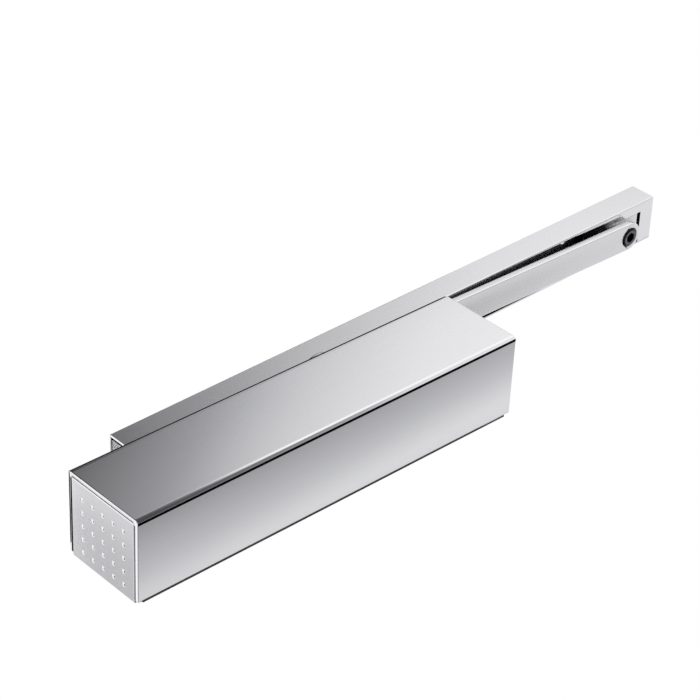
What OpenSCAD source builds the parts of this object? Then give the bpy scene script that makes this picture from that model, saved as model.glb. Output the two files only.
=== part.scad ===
// Overhead door closer with a slide channel, as fitted: the door's face is the plane y = 0,
// X runs along the door's width, -Y points away from the door and +Z is up.
// The origin is the middle of the four door screws.

/* [Cover] */
// Length of the cover between the faces of its end caps
cover_l = 284; // [256:1:310]
// Height of the cover
cover_h = 60; // [54:0.5:66]
// Distance from the door's face to the front of the cover
cover_d = 56; // [56:0.5:62]
// Wall of the cover
cover_wall = 2; // [1.6:0.1:2.4]
// Gap between the cover's rear edges and the door's face
cover_lift = 1.5; // [1:0.1:3]
// Bevel along the cover's two long front edges
cover_bevel = 1; // [0.6:0.1:1.6]
// Width of the shadow groove behind each long front edge
groove_w = 1.9; // [1:0.1:2.2]
// Flat strip between the bevel and the shadow groove
groove_strip = 0.2; // [0.1:0.1:1]
// Depth of the shadow groove
groove_d = 1.1; // [0.6:0.1:1.3]
// Gap between the cover's inside and the housing
cover_gap = 1; // [0.9:0.1:1.5]

/* [End caps] */
// Thickness of the cap's visible face plate
cap_face_t = 2; // [1.5:0.1:3]
// Thickness of the cap's inner plate, which fits in the cover
cap_plate_t = 1.5; // [1:0.1:2.5]
// Shadow gap round the face plate
cap_gap = 1; // [0.4:0.1:1.2]
// Distance between neighbouring dots
dot_pitch = 8.9; // [7:0.1:10]
// Radius of a dot on the cap's face
dot_r = 1.2; // [0.8:0.1:1.6]
// Height of a dot over the cap's face
dot_h = 0.5; // [0.3:0.1:0.7]
// Distance from the door's face to the middle of the dots
dot_y = 25; // [24:0.5:28]

/* [Mounting plate] */
// Thickness of the mounting plate
plate_t = 3; // [2.5:0.1:4]
// Step from the housing's top and bottom in to the plate's raised middle
plate_step = 3; // [2:0.5:4]
// Gap between the plate's thin rim and the cover's rear edges
plate_rim_gap = 0.3; // [0.2:0.1:0.5]
// Step from the cover's top and bottom in to the plate's thin rim
plate_rim_in = 0.6; // [0.4:0.1:1.5]
// Distance from the plate's ends to the door screws
screw_in_x = 6; // [5:0.5:7]
// Distance from the long edges of the plate's middle to the door screws
screw_in_z = 8; // [7:0.5:10]
// Radius of a door screw's hole
screw_hole_r = 2.75; // [2.2:0.05:3]
// Free length inside each end of the cover, past the housing
end_room = 13.5; // [13:0.5:15]
// Gap between the mounting plate's ends and the end caps
plate_gap = 0.5; // [0.3:0.1:1]

/* [Housing] */
// Distance from the door's face to the axis of the bore and of the spindle
axis_y = 30.8; // [30:0.1:31.5]
// Metal left between the main bore and the housing's top and bottom
bore_wall = 9.5; // [9.2:0.1:10.5]
// Chamfer along the housing's long edges
housing_chamfer = 3; // [2.5:0.5:4]
// Length of each end plug
plug_l = 14; // [12:0.5:16]
// Radial clearance of a running fit
fit = 0.05; // [0.02:0.01:0.09]

/* [Spindle] */
// Distance from the housing's right end to the spindle
spindle_in = 75; // [72:1:80]
// Radius of the spindle
spindle_r = 7; // [6.5:0.1:7.2]
// Width of the spindle's square end
square_w = 9.8; // [9:0.1:10]
// Outer radius of the spindle's bushes
bush_r = 10; // [9.5:0.1:10.5]
// Length of a spindle bush
bush_l = 5.5; // [4:0.5:6]
// Height of the spindle seal
seal_h = 2; // [1.5:0.1:2.5]
// Metal left between the main bore's crown and the spindle bushes
bush_in = 0.5; // [0.4:0.1:0.8]
// Clearance of the cover's notch round the spindle
notch_gap = 1.5; // [1:0.1:3]

/* [Cam and pistons] */
// Radius of the cam in its notch
cam_r = 7.8; // [7.6:0.1:8]
// Gap between the cam's tip and the bore
cam_tip_gap = 0.5; // [0.4:0.1:1]
// Thickness of the cam and the rollers
cam_t = 10; // [8:0.5:10]
// Clearance between the cam and the rollers
cam_gap = 0.1; // [0.05:0.01:0.2]
// Radius of a roller
roller_r = 6; // [5.5:0.1:6.4]
// Radius of a roller's pin
roller_pin_r = 2.5; // [2:0.1:3]
// Clearance between a roller and the piston's slot
slot_gap = 0.4; // [0.3:0.05:0.6]
// Length of the spring piston behind its slot
spring_piston_l = 18; // [14:1:22]
// Length of the damping piston behind its slot
damping_piston_l = 13; // [11:0.5:13]

/* [Springs] */
// Wire radius of the closing spring
wire_r = 2.1; // [1.8:0.1:2.3]
// Turns of the closing spring
spring_turns = 11; // [8:1:12]
// Wire radius of the damping piston's spring
light_wire_r = 0.7; // [0.5:0.1:0.8]
// Turns of the damping piston's spring
light_turns = 5; // [4:1:6]
// Clearance between a spring and the bore
spring_gap = 0.5; // [0.4:0.1:1.5]
// Thickness of the spring seat
seat_t = 8; // [6:0.5:10]
// Radius of the adjusting screw
adjuster_r = 4; // [3.5:0.1:4.5]
// Travel of the spring seat along the adjusting screw
seat_travel = 10; // [8:0.5:11]

/* [Valves and fasteners] */
// Distance from the main bore to the axes of the valves and the body screws
side_wall = 4.8; // [4.7:0.1:4.9]
// Distance from the housing's right end to the outer pair of valves
valve_in = 26; // [22:0.5:28]
// Distance between neighbouring valves
valve_pitch = 15; // [14:0.5:16]
// Radius of a valve screw
valve_r = 3; // [2.6:0.1:3]
// Length of a valve screw
valve_l = 14; // [12:0.5:16]
// Distance from a valve's head to the neck for its seal
valve_neck_in = 6; // [5:0.5:8]
// Radius of a body screw
body_screw_r = 2.5; // [2:0.1:2.5]
// Radius of a body screw's head
body_head_r = 4; // [3.8:0.1:4]
// Height of a body screw's head
body_head_h = 4; // [3:0.5:5]
// Distance from the housing's ends to the body screws
body_screw_in = 8; // [7:0.5:9]

/* [Arm] */
// Length of the arm between its two pivots
arm_l = 272.7; // [250:0.1:290]
// Width of the arm
arm_w = 20; // [19:0.5:22]
// Thickness of the arm
arm_t = 5; // [4.5:0.1:5.4]
// Height of the arm's lower face over the cover's top
arm_lift = 8.5; // [8:0.1:10]
// Angle of the arm to the door with the door closed
arm_deg = 1.05; // [0:0.05:3]
// Radius of the arm's round hub end
hub_r = 14; // [12:0.5:16]
// Radius of the boss under the arm's hub
boss_r = 12; // [10:0.5:12]
// Clearance between that boss and the cover
boss_gap = 1; // [0.5:0.1:2]
// Radius of the hub screw
hub_screw_r = 3; // [2.5:0.1:3.2]
// Radius of the hub screw's head
hub_head_r = 6; // [5:0.1:6.2]
// Height of the hub screw's head
hub_head_h = 2.7; // [2:0.1:2.9]
// Radius of the pivot screw's head
pivot_head_r = 6.5; // [6.3:0.1:7.2]
// Height of the pivot screw's head
pivot_head_h = 4; // [3.5:0.1:4.5]
// Depth of the arm's counterbore for that head
pivot_sink = 3; // [2:0.1:3.2]
// Radius of the pivot screw
pivot_r = 4; // [3:0.1:4.2]
// Outer radius of the pivot bush in the slider
pivot_bush_r = 6; // [5.5:0.1:6.5]

/* [Slide channel] */
// Length of the slide channel
channel_l = 440; // [400:1:480]
// Height of the slide channel
channel_h = 18.7; // [17.5:0.1:20]
// Depth of the slide channel
channel_d = 31.8; // [30:0.1:36]
// Wall of the slide channel
channel_wall = 1.5; // [1.3:0.1:2]
// Width of the lips beside the slot, from the channel's outside
lip_w = 3; // [2.8:0.1:4]
// Depth at which the lips lie inside the channel's open side
lip_in = 2; // [1.5:0.1:3]
// Gap between the arm and the channel
channel_gap = 3; // [1:0.1:4]
// Angle between the channel and the door's face
channel_deg = 0.91; // [0:0.01:2]
// Length of a channel cap
channel_cap_l = 12; // [10:0.5:14]
// Length of the slider
slider_l = 38; // [34:1:40]
// Offset of the slider's middle from its pivot
slider_off = 3; // [0:0.5:4]
// Width of the slider's foot, which fills the slot round the pivot
foot_w = 17.2; // [16:0.2:20]
// Gap between the slider at rest and the channel's right cap
end_gap = 2.7; // [0.3:0.1:6]
// Length of the right cap's tongue beside the slot
tongue_l = 63; // [40:1:80]
// Length of the tongue's straight root
tongue_root = 15; // [10:1:20]
// Distance from the cap to the middle of the tongue's taper
tongue_mid = 31; // [22:1:38]
// Width of the tongue there
tongue_mid_w = 2.5; // [2:0.1:4]
// Clearance between the slider and the channel
slide_gap = 0.3; // [0.2:0.05:0.4]
// Distance from the channel's left end to its first fixing hole
fix_in = 24; // [20:1:40]
// Distance from the slider to the channel's other fixing hole
fix_gap = 15; // [10:1:40]
// Radius of a fixing hole in the channel
fix_r = 2.75; // [2.2:0.05:3.2]

/* [Hidden] */
$fn = 64;
eps = 0.01;
// Cover's inside, and the housing in it
end_x = cover_l / 2;
inner_h = cover_h - 2 * cover_wall;
inner_d = cover_d - cover_wall;
inner_chamfer = 2;
cap_inner_x = end_x - cap_face_t - cap_plate_t;
housing_x = cap_inner_x - end_room;
housing_h = inner_h - 2 * cover_gap;
housing_d = inner_d - cover_gap;
groove_end = 0.5;
// Mounting plate and its screws
plate_x = cap_inner_x - plate_gap;
plate_h = housing_h - 2 * plate_step;
plate_rim_t = cover_lift - plate_rim_gap;
screw_x = plate_x - screw_in_x;
screw_z = plate_h / 2 - screw_in_z;
// Main bore, and what is placed from it
bore_r = housing_h / 2 - bore_wall;
side_z = bore_r + side_wall;
spindle_x = housing_x - spindle_in;
cam_rise = bore_r - cam_tip_gap - cam_r;
valve_x = housing_x - valve_in - valve_pitch;
// Heights on the spindle's axis
wall_z = bore_r + bush_in;
top_z = housing_h / 2;
boss_z = cover_h / 2 + boss_gap;
spindle_low = -wall_z - bush_l;
spindle_end_gap = 0.3;
hub_web = 2;
arm_z = cover_h / 2 + arm_lift;
hub_head_in = 0.3;
hub_sink_z = arm_z + arm_t - hub_head_h - hub_head_in;
hub_socket_r = 2.9;
hub_socket_depth = 2;
head_gap = 0.4;
square_z = hub_sink_z - hub_web;
square_gap = 0.2;
hub_screw_l = 22.5;
hub_thread = hub_sink_z - hub_screw_l;
// Cam: the roller's path is r = path_r + path_rise per radian, the same to both sides of the notch
path_r = cam_r + roller_r;
path_rise = cam_rise / PI;
swing_deg = 150;
stroke = cam_rise * swing_deg / 180;
cam_steps = 60;
// Pistons: roller centres and piston faces along X
spring_roller_x = spindle_x - path_r;
damping_roller_x = spindle_x + path_r + cam_rise;
slot_w = cam_t + 2 * slot_gap;
slot_depth = roller_r + 1;
cheek_gap = 0.6;
pin_in = 0.8;
spring_cheek_x = spindle_x - spindle_r - cheek_gap;
damping_cheek_x = spindle_x + spindle_r + cheek_gap + stroke;
spring_face_x = spring_roller_x - slot_depth - spring_piston_l;
damping_face_x = damping_roller_x + slot_depth + damping_piston_l;
plug_x = housing_x - plug_l;
check_r = 5;
check_l = 8;
check_bore_r = 2;
check_floor = 2;
light_spring_r = 12;
// Spring seat and adjusting screw
seat_gap = 1;
seat_x = -plug_x + seat_gap;
seat_end_x = seat_x + seat_t;
seat_pilot = 2;
seat_pilot_gap = 1;
adjuster_collar_r = 6.5;
adjuster_collar_l = 4;
adjuster_socket_r = 2.5;
adjuster_socket_depth = 5;
// O-rings, and the damping plug's hexagon socket
seal_ring_r = 1;
seal_x = housing_x - plug_l * 0.7;
plug_socket_r = 5;
plug_socket_depth = 6;
// Valves
valve_neck_r = valve_r - 0.8;
valve_neck_l = 1.6;
valve_head_in = 0.5;
valve_neck_d = housing_d - valve_head_in - valve_neck_in;
valve_slot_w = 0.8;
valve_slot_depth = 1.5;
// Body screws
body_head_in = 0.5;
body_sink = body_head_h + body_head_in;
body_socket_r = 2.2;
body_socket_depth = 1.8;
hole_gap = 0.2;
body_screw_x = housing_x - body_screw_in;
// Cover clips
clip_in = 55;
clip_x = housing_x - clip_in;
clip_w = 12;
clip_d = 10;
clip_y = 20;
clip_gap = 0.3;
clip_t = cover_gap - clip_gap;
// Pivot at the arm's tip, and the channel on it
pivot_socket_r = 3.46;
pivot_socket_depth = 3;
pin_x = spindle_x + arm_l * cos(arm_deg);
pin_y = -axis_y + arm_l * sin(arm_deg);
channel_z = arm_z + arm_t + channel_gap;
slider_right = slider_l / 2 - slider_off;
slider_left = slider_right - slider_l;
channel_right = slider_right + end_gap + channel_cap_l;
channel_left = channel_right - channel_l;
inside_d = channel_d - 2 * channel_wall;
slot_d = channel_d - 2 * lip_w;
lip_low = channel_z + lip_in;
lip_top = lip_low + channel_wall;
tongue_tip_w = 0.3;
web_z = channel_z + channel_h - channel_wall;
slider_top_gap = 3.5;
slider_top = web_z - slider_top_gap;
slider_low_gap = 0.4;
slider_low = channel_z + slider_low_gap;
bush_flange_r = 9;
bush_flange_t = 2;
bush_top_gap = 0.2;
bush_top = slider_top - bush_top_gap;

// Shared shapes

// A length along X of an outline drawn in Y and Z
module along_x(x0, x1) {
    translate([x0, 0, 0]) rotate([90, 0, 90]) linear_extrude(x1 - x0) children();
}

// A round bar along X on the bore's axis
module bar_x(x0, x1, r) {
    translate([x0, -axis_y, 0]) rotate([0, 90, 0]) cylinder(h = x1 - x0, r = r);
}

// A round bar along Z at a place
module bar_z(x, y, z0, z1, r) {
    translate([x, y, z0]) cylinder(h = z1 - z0, r = r);
}

// A round bar that runs away from the door, from depth d0 to depth d1
module bar_out(x, z, d0, d1, r) {
    translate([x, -d0, z]) rotate([90, 0, 0]) cylinder(h = d1 - d0, r = r);
}

// A hexagon socket along X, its mouth at x0
module socket_x(x0, depth, r) {
    translate([x0 - eps, -axis_y, 0]) rotate([0, 90, 0]) cylinder(h = depth + eps, r = r, $fn = 6);
}

// A washer-shaped ring round the spindle
module spindle_ring(z0, z1, r_out, r_in) {
    difference() {
        bar_z(spindle_x, -axis_y, z0, z1, r_out);
        bar_z(spindle_x, -axis_y, z0 - eps, z1 + eps, r_in);
    }
}

// Things that lie along the tilted channel, measured from the slider's pivot
module in_channel() {
    translate([pin_x, pin_y, 0]) rotate([0, 0, -channel_deg]) children();
}

// Root: mounting plate, housing and what is fixed in it

// A raised middle that carries the housing, and a thin rim under the cover's rear edges
module mounting_plate() color("#2b2b2d") difference() {
    union() {
        translate([-plate_x, -plate_t, -plate_h / 2]) cube([2 * plate_x, plate_t, plate_h]);
        translate([-plate_x, -plate_rim_t, plate_rim_in - cover_h / 2])
            cube([2 * plate_x, plate_rim_t, cover_h - 2 * plate_rim_in]);
    }
    for (x = [-1, 1], z = [-1, 1]) {
        bar_out(x * screw_x, z * screw_z, -eps, plate_t + eps, screw_hole_r);
        bar_out(x * body_screw_x, z * side_z, -eps, plate_t + eps, body_screw_r);
    }
}

module housing_outline() {
    c = housing_chamfer;
    h = housing_h / 2;
    polygon([[-plate_t, -h], [-plate_t, h], [-housing_d + c, h], [-housing_d, h - c],
        [-housing_d, c - h], [-housing_d + c, -h]]);
}

module housing() color("silver") difference() {
    along_x(-housing_x, housing_x) housing_outline();
    bar_x(-housing_x - eps, housing_x + eps, bore_r);
    bar_z(spindle_x, -axis_y, -top_z - eps, top_z + eps, bush_r);
    for (i = [0, 1], z = [-1, 1])
        bar_out(valve_x + i * valve_pitch, z * side_z, housing_d - valve_l - valve_head_in - 1,
            housing_d + eps, valve_r + fit);
    for (x = [-1, 1], z = [-1, 1]) {
        bar_out(x * body_screw_x, z * side_z, plate_t - eps, housing_d + eps, body_screw_r + hole_gap);
        bar_out(x * body_screw_x, z * side_z, housing_d - body_sink, housing_d + eps,
            body_head_r + hole_gap);
    }
}

// An O-ring round a plug, and with over its groove, which opens past the plug's surface
module seal_ring(x, over = 0) {
    translate([x, -axis_y, 0]) rotate([0, 90, 0]) rotate_extrude()
        translate([bore_r - 2 * seal_ring_r, -seal_ring_r])
            square([2 * seal_ring_r + over, 2 * seal_ring_r]);
}

module plug_seals() color("black") {
    seal_ring(-seal_x);
    seal_ring(seal_x);
}

module end_plug(side) {
    x0 = side < 0 ? -housing_x : plug_x;
    difference() {
        bar_x(x0, x0 + plug_l, bore_r);
        seal_ring(side * seal_x, 1);
        children();
    }
}

module spring_end_plug() color("silver") end_plug(-1) {
    bar_x(-housing_x - eps, -plug_x + eps, adjuster_r + fit);
    bar_x(-plug_x - adjuster_collar_l, -plug_x + eps, adjuster_collar_r + fit);
}

module damping_end_plug() color("silver") end_plug(1)
    socket_x(housing_x - plug_socket_depth + eps, plug_socket_depth + eps, plug_socket_r);

module upper_bush() color("goldenrod") spindle_ring(wall_z, wall_z + bush_l, bush_r, spindle_r + fit);

module lower_bush() color("goldenrod") spindle_ring(-wall_z - bush_l, -wall_z, bush_r, spindle_r + fit);

module spindle_seal() color("black")
    spindle_ring(wall_z + bush_l, wall_z + bush_l + seal_h, bush_r, spindle_r + fit);

module bush_cap() color("silver") spindle_ring(wall_z + bush_l + seal_h, top_z, bush_r, spindle_r + 3 * fit);

module lower_bore_plug() color("silver") bar_z(spindle_x, -axis_y, -top_z, spindle_low - spindle_end_gap, bush_r);

module body_screws() color("dimgray") for (x = [-1, 1], z = [-1, 1]) difference() {
    union() {
        bar_out(x * body_screw_x, z * side_z, 0, housing_d - body_sink + eps, body_screw_r);
        bar_out(x * body_screw_x, z * side_z, housing_d - body_sink,
            housing_d - body_head_in, body_head_r);
    }
    translate([x * body_screw_x, -housing_d + body_head_in + body_socket_depth, z * side_z])
        rotate([90, 0, 0]) cylinder(h = body_socket_depth + eps, r = body_socket_r, $fn = 6);
}

// Four leaf clips on the housing's sides hold the cover by its inside
module cover_clips() color("silver") for (x = [-1, 1], z = [-1, 1])
    translate([x * clip_x - clip_w / 2, -clip_y - clip_d / 2, z < 0 ? -top_z - clip_t : top_z])
        cube([clip_w, clip_d, clip_t]);

// Springs

// One unbroken helix of round wire along X, as rings of points
module coil(x0, x1, r, w, turns, per_turn = 20, sides = 6) {
    n = turns * per_turn;
    run = x1 - x0 - 2 * w;
    pts = [for (i = [0:n], j = [0:sides - 1])
        let (a = 360 * i / per_turn, b = 360 * j / sides)
        [x0 + w + run * i / n + w * sin(b) * 0.98,
            -axis_y + (r + w * cos(b)) * cos(a), (r + w * cos(b)) * sin(a)]];
    side_faces = [for (i = [0:n - 1], j = [0:sides - 1], k = [0, 1])
        let (a = i * sides + j, b = i * sides + (j + 1) % sides)
        k == 0 ? [a, a + sides, b] : [b, a + sides, b + sides]];
    first = [[for (j = [0:sides - 1]) j]];
    last = [[for (j = [sides - 1:-1:0]) n * sides + j]];
    polyhedron(points = pts, faces = concat(side_faces, first, last));
}

module main_spring() color("slategray")
    coil(seat_end_x, spring_face_x, bore_r - spring_gap - wire_r, wire_r, spring_turns);

module light_spring() color("slategray")
    coil(damping_face_x, plug_x, light_spring_r, light_wire_r, light_turns);

// The seat is a nut on the adjusting screw and pushes the closing spring
module spring_seat() color("silver") difference() {
    union() {
        bar_x(seat_x, seat_end_x, bore_r - 2 * fit);
        bar_x(seat_end_x - eps, seat_end_x + seat_pilot,
            bore_r - spring_gap - 2 * wire_r - seat_pilot_gap);
    }
    bar_x(seat_x - eps, seat_end_x + seat_pilot + eps, adjuster_r + fit);
}

module adjusting_screw() color("dimgray") difference() {
    union() {
        bar_x(-housing_x, seat_end_x + seat_pilot + seat_travel, adjuster_r);
        bar_x(-plug_x - adjuster_collar_l + fit, -plug_x - fit, adjuster_collar_r);
    }
    socket_x(-housing_x, adjuster_socket_depth, adjuster_socket_r);
}

// Spindle, cam and pistons

module spindle() color("lightgray") difference() {
    union() {
        bar_z(spindle_x, -axis_y, spindle_low, boss_z, spindle_r);
        translate([spindle_x, -axis_y, boss_z]) rotate([0, 0, arm_deg])
            translate([-square_w / 2, -square_w / 2, -eps])
                cube([square_w, square_w, square_z - boss_z - square_gap + eps]);
    }
    bar_z(spindle_x, -axis_y, hub_thread, square_z + 1, hub_screw_r);
}

// Inner parallel of the roller's path, at the roller's radius and its clearance
function cam_point(t) =
    let (r = path_r + path_rise * t * PI / 180,
        slope = atan2(path_rise, r),
        d = roller_r + cam_gap)
    [r * cos(t) - d * cos(t - slope), r * sin(t) - d * sin(t - slope)];
notch_deg = atan2(path_rise, path_r);
// The parallel's last point before it crosses the other side's at the tip
function cam_last(t) = cam_point(t)[1] > 0 ? t : cam_last(t - 0.25);
cam_end = cam_last(180);

// The notch's arc leaves out its own ends, where the flanks start
function notch_arc() = [for (i = [1:7]) let (a = notch_deg * (1 - i / 4), d = roller_r + cam_gap)
    [path_r - d * cos(a), d * sin(a)]];
function flank(side) = [for (i = [0:cam_steps])
    let (q = cam_point(cam_end * i / cam_steps)) [q[0], side * q[1]]];

// The notch faces the spring piston, at -X
module cam() color("lightgray") translate([spindle_x, -axis_y, -cam_t / 2]) rotate([0, 0, 180])
    difference() {
        linear_extrude(cam_t) polygon(concat(
            flank(1), [for (i = [cam_steps:-1:0]) flank(-1)[i]],
            [for (i = [6:-1:0]) notch_arc()[i]]));
        translate([0, 0, -eps]) cylinder(h = cam_t + 2 * eps, r = spindle_r);
    }

module roller(x) difference() {
    bar_z(x, -axis_y, -cam_t / 2, cam_t / 2, roller_r);
    bar_z(x, -axis_y, -cam_t, cam_t, roller_pin_r + fit);
}

module roller_pin(x, half_l = bore_r - pin_in) bar_z(x, -axis_y, -half_l, half_l, roller_pin_r);

// A piston between its face and the end of its two cheeks, slotted for the roller at x
module piston(face, cheek, x) {
    side = sign(cheek - face);
    bottom = x - side * slot_depth;
    difference() {
        bar_x(min(face, cheek), max(face, cheek), bore_r - fit);
        translate([side > 0 ? bottom : cheek - eps, -axis_y - bore_r, -slot_w / 2])
            cube([abs(cheek - bottom) + eps, 2 * bore_r, slot_w]);
        roller_pin(x, bore_r);
        children();
    }
}

module spring_piston() color("silver") piston(spring_face_x, spring_cheek_x, spring_roller_x);

module spring_roller() color("lightgray") roller(spring_roller_x);

module spring_roller_pin() color("dimgray") roller_pin(spring_roller_x);

module damping_piston() color("silver") piston(damping_face_x, damping_cheek_x, damping_roller_x)
    bar_x(damping_face_x - check_l, damping_face_x + eps, check_r);

module damping_roller() color("lightgray") roller(damping_roller_x);

module damping_roller_pin() color("dimgray") roller_pin(damping_roller_x);

module check_valve() color("goldenrod") difference() {
    bar_x(damping_face_x - check_l, damping_face_x, check_r);
    bar_x(damping_face_x - check_l + check_floor, damping_face_x + eps, check_bore_r);
}

// Regulating valves: each is a slotted screw with a neck for its seal

module valve(x, z) difference() {
    bar_out(x, z, housing_d - valve_head_in - valve_l, housing_d - valve_head_in, valve_r);
    difference() {
        bar_out(x, z, valve_neck_d, valve_neck_d + valve_neck_l, valve_r + 1);
        bar_out(x, z, valve_neck_d - eps, valve_neck_d + valve_neck_l + eps, valve_neck_r);
    }
    translate([x - valve_r, -housing_d + valve_head_in - eps, z - valve_slot_w / 2])
        cube([2 * valve_r, valve_slot_depth, valve_slot_w]);
}
module closing_valve() color("goldenrod") valve(valve_x, side_z);

module latching_valve() color("goldenrod") valve(valve_x + valve_pitch, side_z);

module backcheck_valve() color("goldenrod") valve(valve_x, -side_z);

module delay_valve() color("goldenrod") valve(valve_x + valve_pitch, -side_z);

module valve_seals() color("black") for (i = [0, 1], z = [-1, 1]) difference() {
    bar_out(valve_x + i * valve_pitch, z * side_z, valve_neck_d + fit,
        valve_neck_d + valve_neck_l - fit, valve_r + fit);
    bar_out(valve_x + i * valve_pitch, z * side_z, valve_neck_d - 1,
        valve_neck_d + valve_neck_l + 1, valve_neck_r + fit);
}

// Cover: an extruded U with a shadow groove behind each long front edge

module cover_outline() {
    h = cover_h / 2;
    b = cover_bevel;
    polygon([[-cover_lift, -h], [-cover_lift, h], [-cover_d + b, h], [-cover_d, h - b],
        [-cover_d, b - h], [-cover_d + b, -h]]);
}

// Inside of the cover, from its rear edges to its front wall
module inner_outline(rear = cover_lift) {
    h = inner_h / 2;
    c = inner_chamfer;
    polygon([[-rear, -h], [-rear, h], [-inner_d + c, h], [-inner_d, h - c],
        [-inner_d, c - h], [-inner_d + c, -h]]);
}

module cover_shell() color("gainsboro") difference() {
    along_x(-end_x, end_x) cover_outline();
    along_x(-end_x - eps, end_x + eps) inner_outline(cover_lift - eps);
    for (z = [-1, 1])
        translate([-end_x + groove_end, -cover_d + cover_bevel + groove_strip,
            z > 0 ? cover_h / 2 - groove_d : -cover_h / 2 - 1])
            cube([cover_l - 2 * groove_end, groove_w, groove_d + 1]);
    bar_z(spindle_x, -axis_y, 0, cover_h, spindle_r + notch_gap);
    translate([spindle_x - spindle_r - notch_gap, -axis_y, 0])
        cube([2 * (spindle_r + notch_gap), axis_y, cover_h]);
}

// Face plate with its shadow gap, the inner plate that the cover holds, and the dots
module end_cap(side) {
    sphere_r = (dot_r * dot_r + dot_h * dot_h) / (2 * dot_h);
    x_face = side * end_x;
    x_step = side * (end_x - cap_face_t);
    x_in = side * cap_inner_x;
    union() {
        along_x(min(x_face, x_step), max(x_face, x_step)) polygon([
            [0, cap_gap - inner_h / 2], [0, inner_h / 2 - cap_gap],
            [-inner_d + cap_gap, inner_h / 2 - cap_gap],
            [-inner_d + cap_gap, cap_gap - inner_h / 2]]);
        along_x(min(x_step, x_in), max(x_step, x_in)) inner_outline();
        for (i = [-2:2], j = [-2:2])
            translate([x_face - side * (sphere_r - dot_h), i * dot_pitch - dot_y, j * dot_pitch])
                sphere(r = sphere_r);
    }
}

module end_cap_left() color("gainsboro") end_cap(-1);

module end_cap_right() color("gainsboro") end_cap(1);

// Arm

// Outline of the flat bar, from the hub round the spindle to the round tip
module arm_outline() {
    circle(r = hub_r);
    translate([0, -arm_w / 2]) square([arm_l, arm_w]);
    translate([arm_l, 0]) circle(r = arm_w / 2);
}

module arm() color("gainsboro") translate([spindle_x, -axis_y, 0]) rotate([0, 0, arm_deg])
    difference() {
        union() {
            translate([0, 0, arm_z]) linear_extrude(arm_t) arm_outline();
            translate([0, 0, boss_z]) cylinder(h = arm_z - boss_z + eps, r = boss_r);
        }
        translate([-square_w / 2, -square_w / 2, boss_z - eps])
            cube([square_w, square_w, square_z - boss_z + eps]);
        translate([0, 0, boss_z]) cylinder(h = arm_z, r = hub_screw_r + hole_gap);
        translate([0, 0, hub_sink_z]) cylinder(h = arm_t, r = hub_head_r + head_gap);
        translate([arm_l, 0, arm_z - eps]) cylinder(h = pivot_sink + eps, r = pivot_head_r + head_gap);
        translate([arm_l, 0, arm_z]) cylinder(h = arm_t + eps, r = pivot_r);
    }

module hub_screw() color("dimgray") difference() {
    union() {
        bar_z(spindle_x, -axis_y, hub_thread, hub_sink_z + eps, hub_screw_r);
        bar_z(spindle_x, -axis_y, hub_sink_z, hub_sink_z + hub_head_h, hub_head_r);
    }
    translate([spindle_x, -axis_y, hub_sink_z + hub_head_h - hub_socket_depth])
        cylinder(h = hub_socket_depth + eps, r = hub_socket_r, $fn = 6);
}

module pivot_screw() color("black") difference() {
    union() {
        bar_z(pin_x, pin_y, arm_z + pivot_sink - pivot_head_h, arm_z + pivot_sink, pivot_head_r);
        bar_z(pin_x, pin_y, arm_z, bush_top - bush_flange_t, pivot_r);
    }
    translate([pin_x, pin_y, arm_z + pivot_sink - pivot_head_h - eps])
        cylinder(h = pivot_socket_depth, r = pivot_socket_r, $fn = 6);
}

// Threaded bush that the pivot screw clamps to the arm, with a flange over the slider
module pivot_bush() color("goldenrod") difference() {
    union() {
        bar_z(pin_x, pin_y, arm_z + arm_t, bush_top, pivot_bush_r);
        bar_z(pin_x, pin_y, bush_top - bush_flange_t, bush_top, bush_flange_r);
    }
    bar_z(pin_x, pin_y, arm_z, bush_top + 1, pivot_r);
}

// Slider and channel

// Foot in the slot, neck between the lips, and wings over them
module slider_block() color("white") in_channel() difference() {
    along_x(slider_left, slider_right) polygon(both_sides([
        [foot_w / 2, slider_low], [foot_w / 2, lip_low + slide_gap],
        [slot_d / 2 - slide_gap, lip_low + slide_gap], [slot_d / 2 - slide_gap, lip_top + slide_gap],
        [inside_d / 2 - slide_gap, lip_top + slide_gap], [inside_d / 2 - slide_gap, slider_top]]));
    translate([0, 0, slider_low - 1]) cylinder(h = channel_h, r = pivot_bush_r + fit);
    translate([0, 0, bush_top - bush_flange_t - slide_gap])
        cylinder(h = channel_h, r = bush_flange_r + slide_gap);
}

// Outline through the points of its right half, which start at the bottom, and their mirror images
function both_sides(half) = concat(half, [for (i = [len(half) - 1:-1:0]) [-half[i][0], half[i][1]]]);

// Inside of the channel with its lips, down to depth z0
module channel_inside(z0, grow = 0) {
    wall = inside_d / 2 - grow;
    lip = slot_d / 2 - grow;
    polygon(both_sides([[wall, z0], [wall, lip_low - grow], [lip, lip_low - grow],
        [lip, lip_top + grow], [wall, lip_top + grow], [wall, web_z - grow]]));
}

module slide_channel() color("gainsboro") in_channel() difference() {
    along_x(channel_left, channel_right) translate([-channel_d / 2, channel_z])
        square([channel_d, channel_h]);
    along_x(channel_left - eps, channel_right + eps) channel_inside(channel_z - eps);
    for (x = [channel_left + fix_in, slider_left - fix_gap])
        translate([x, 0, web_z - 1]) cylinder(h = channel_wall + 2, r = fix_r);
}

// The cap fills the channel's end and stops the slider; its last stretch stands clear of the rim
module channel_cap(x_in, x_out) {
    side = sign(x_out - x_in);
    x_step = x_out - side * cap_face_t;
    along_x(min(x_in, x_step), max(x_in, x_step)) channel_inside(channel_z);
    along_x(min(x_step, x_out), max(x_step, x_out)) channel_inside(channel_z, cap_gap);
}

module channel_cap_left() color("gainsboro") in_channel()
    channel_cap(channel_left + channel_cap_l, channel_left);

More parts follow.
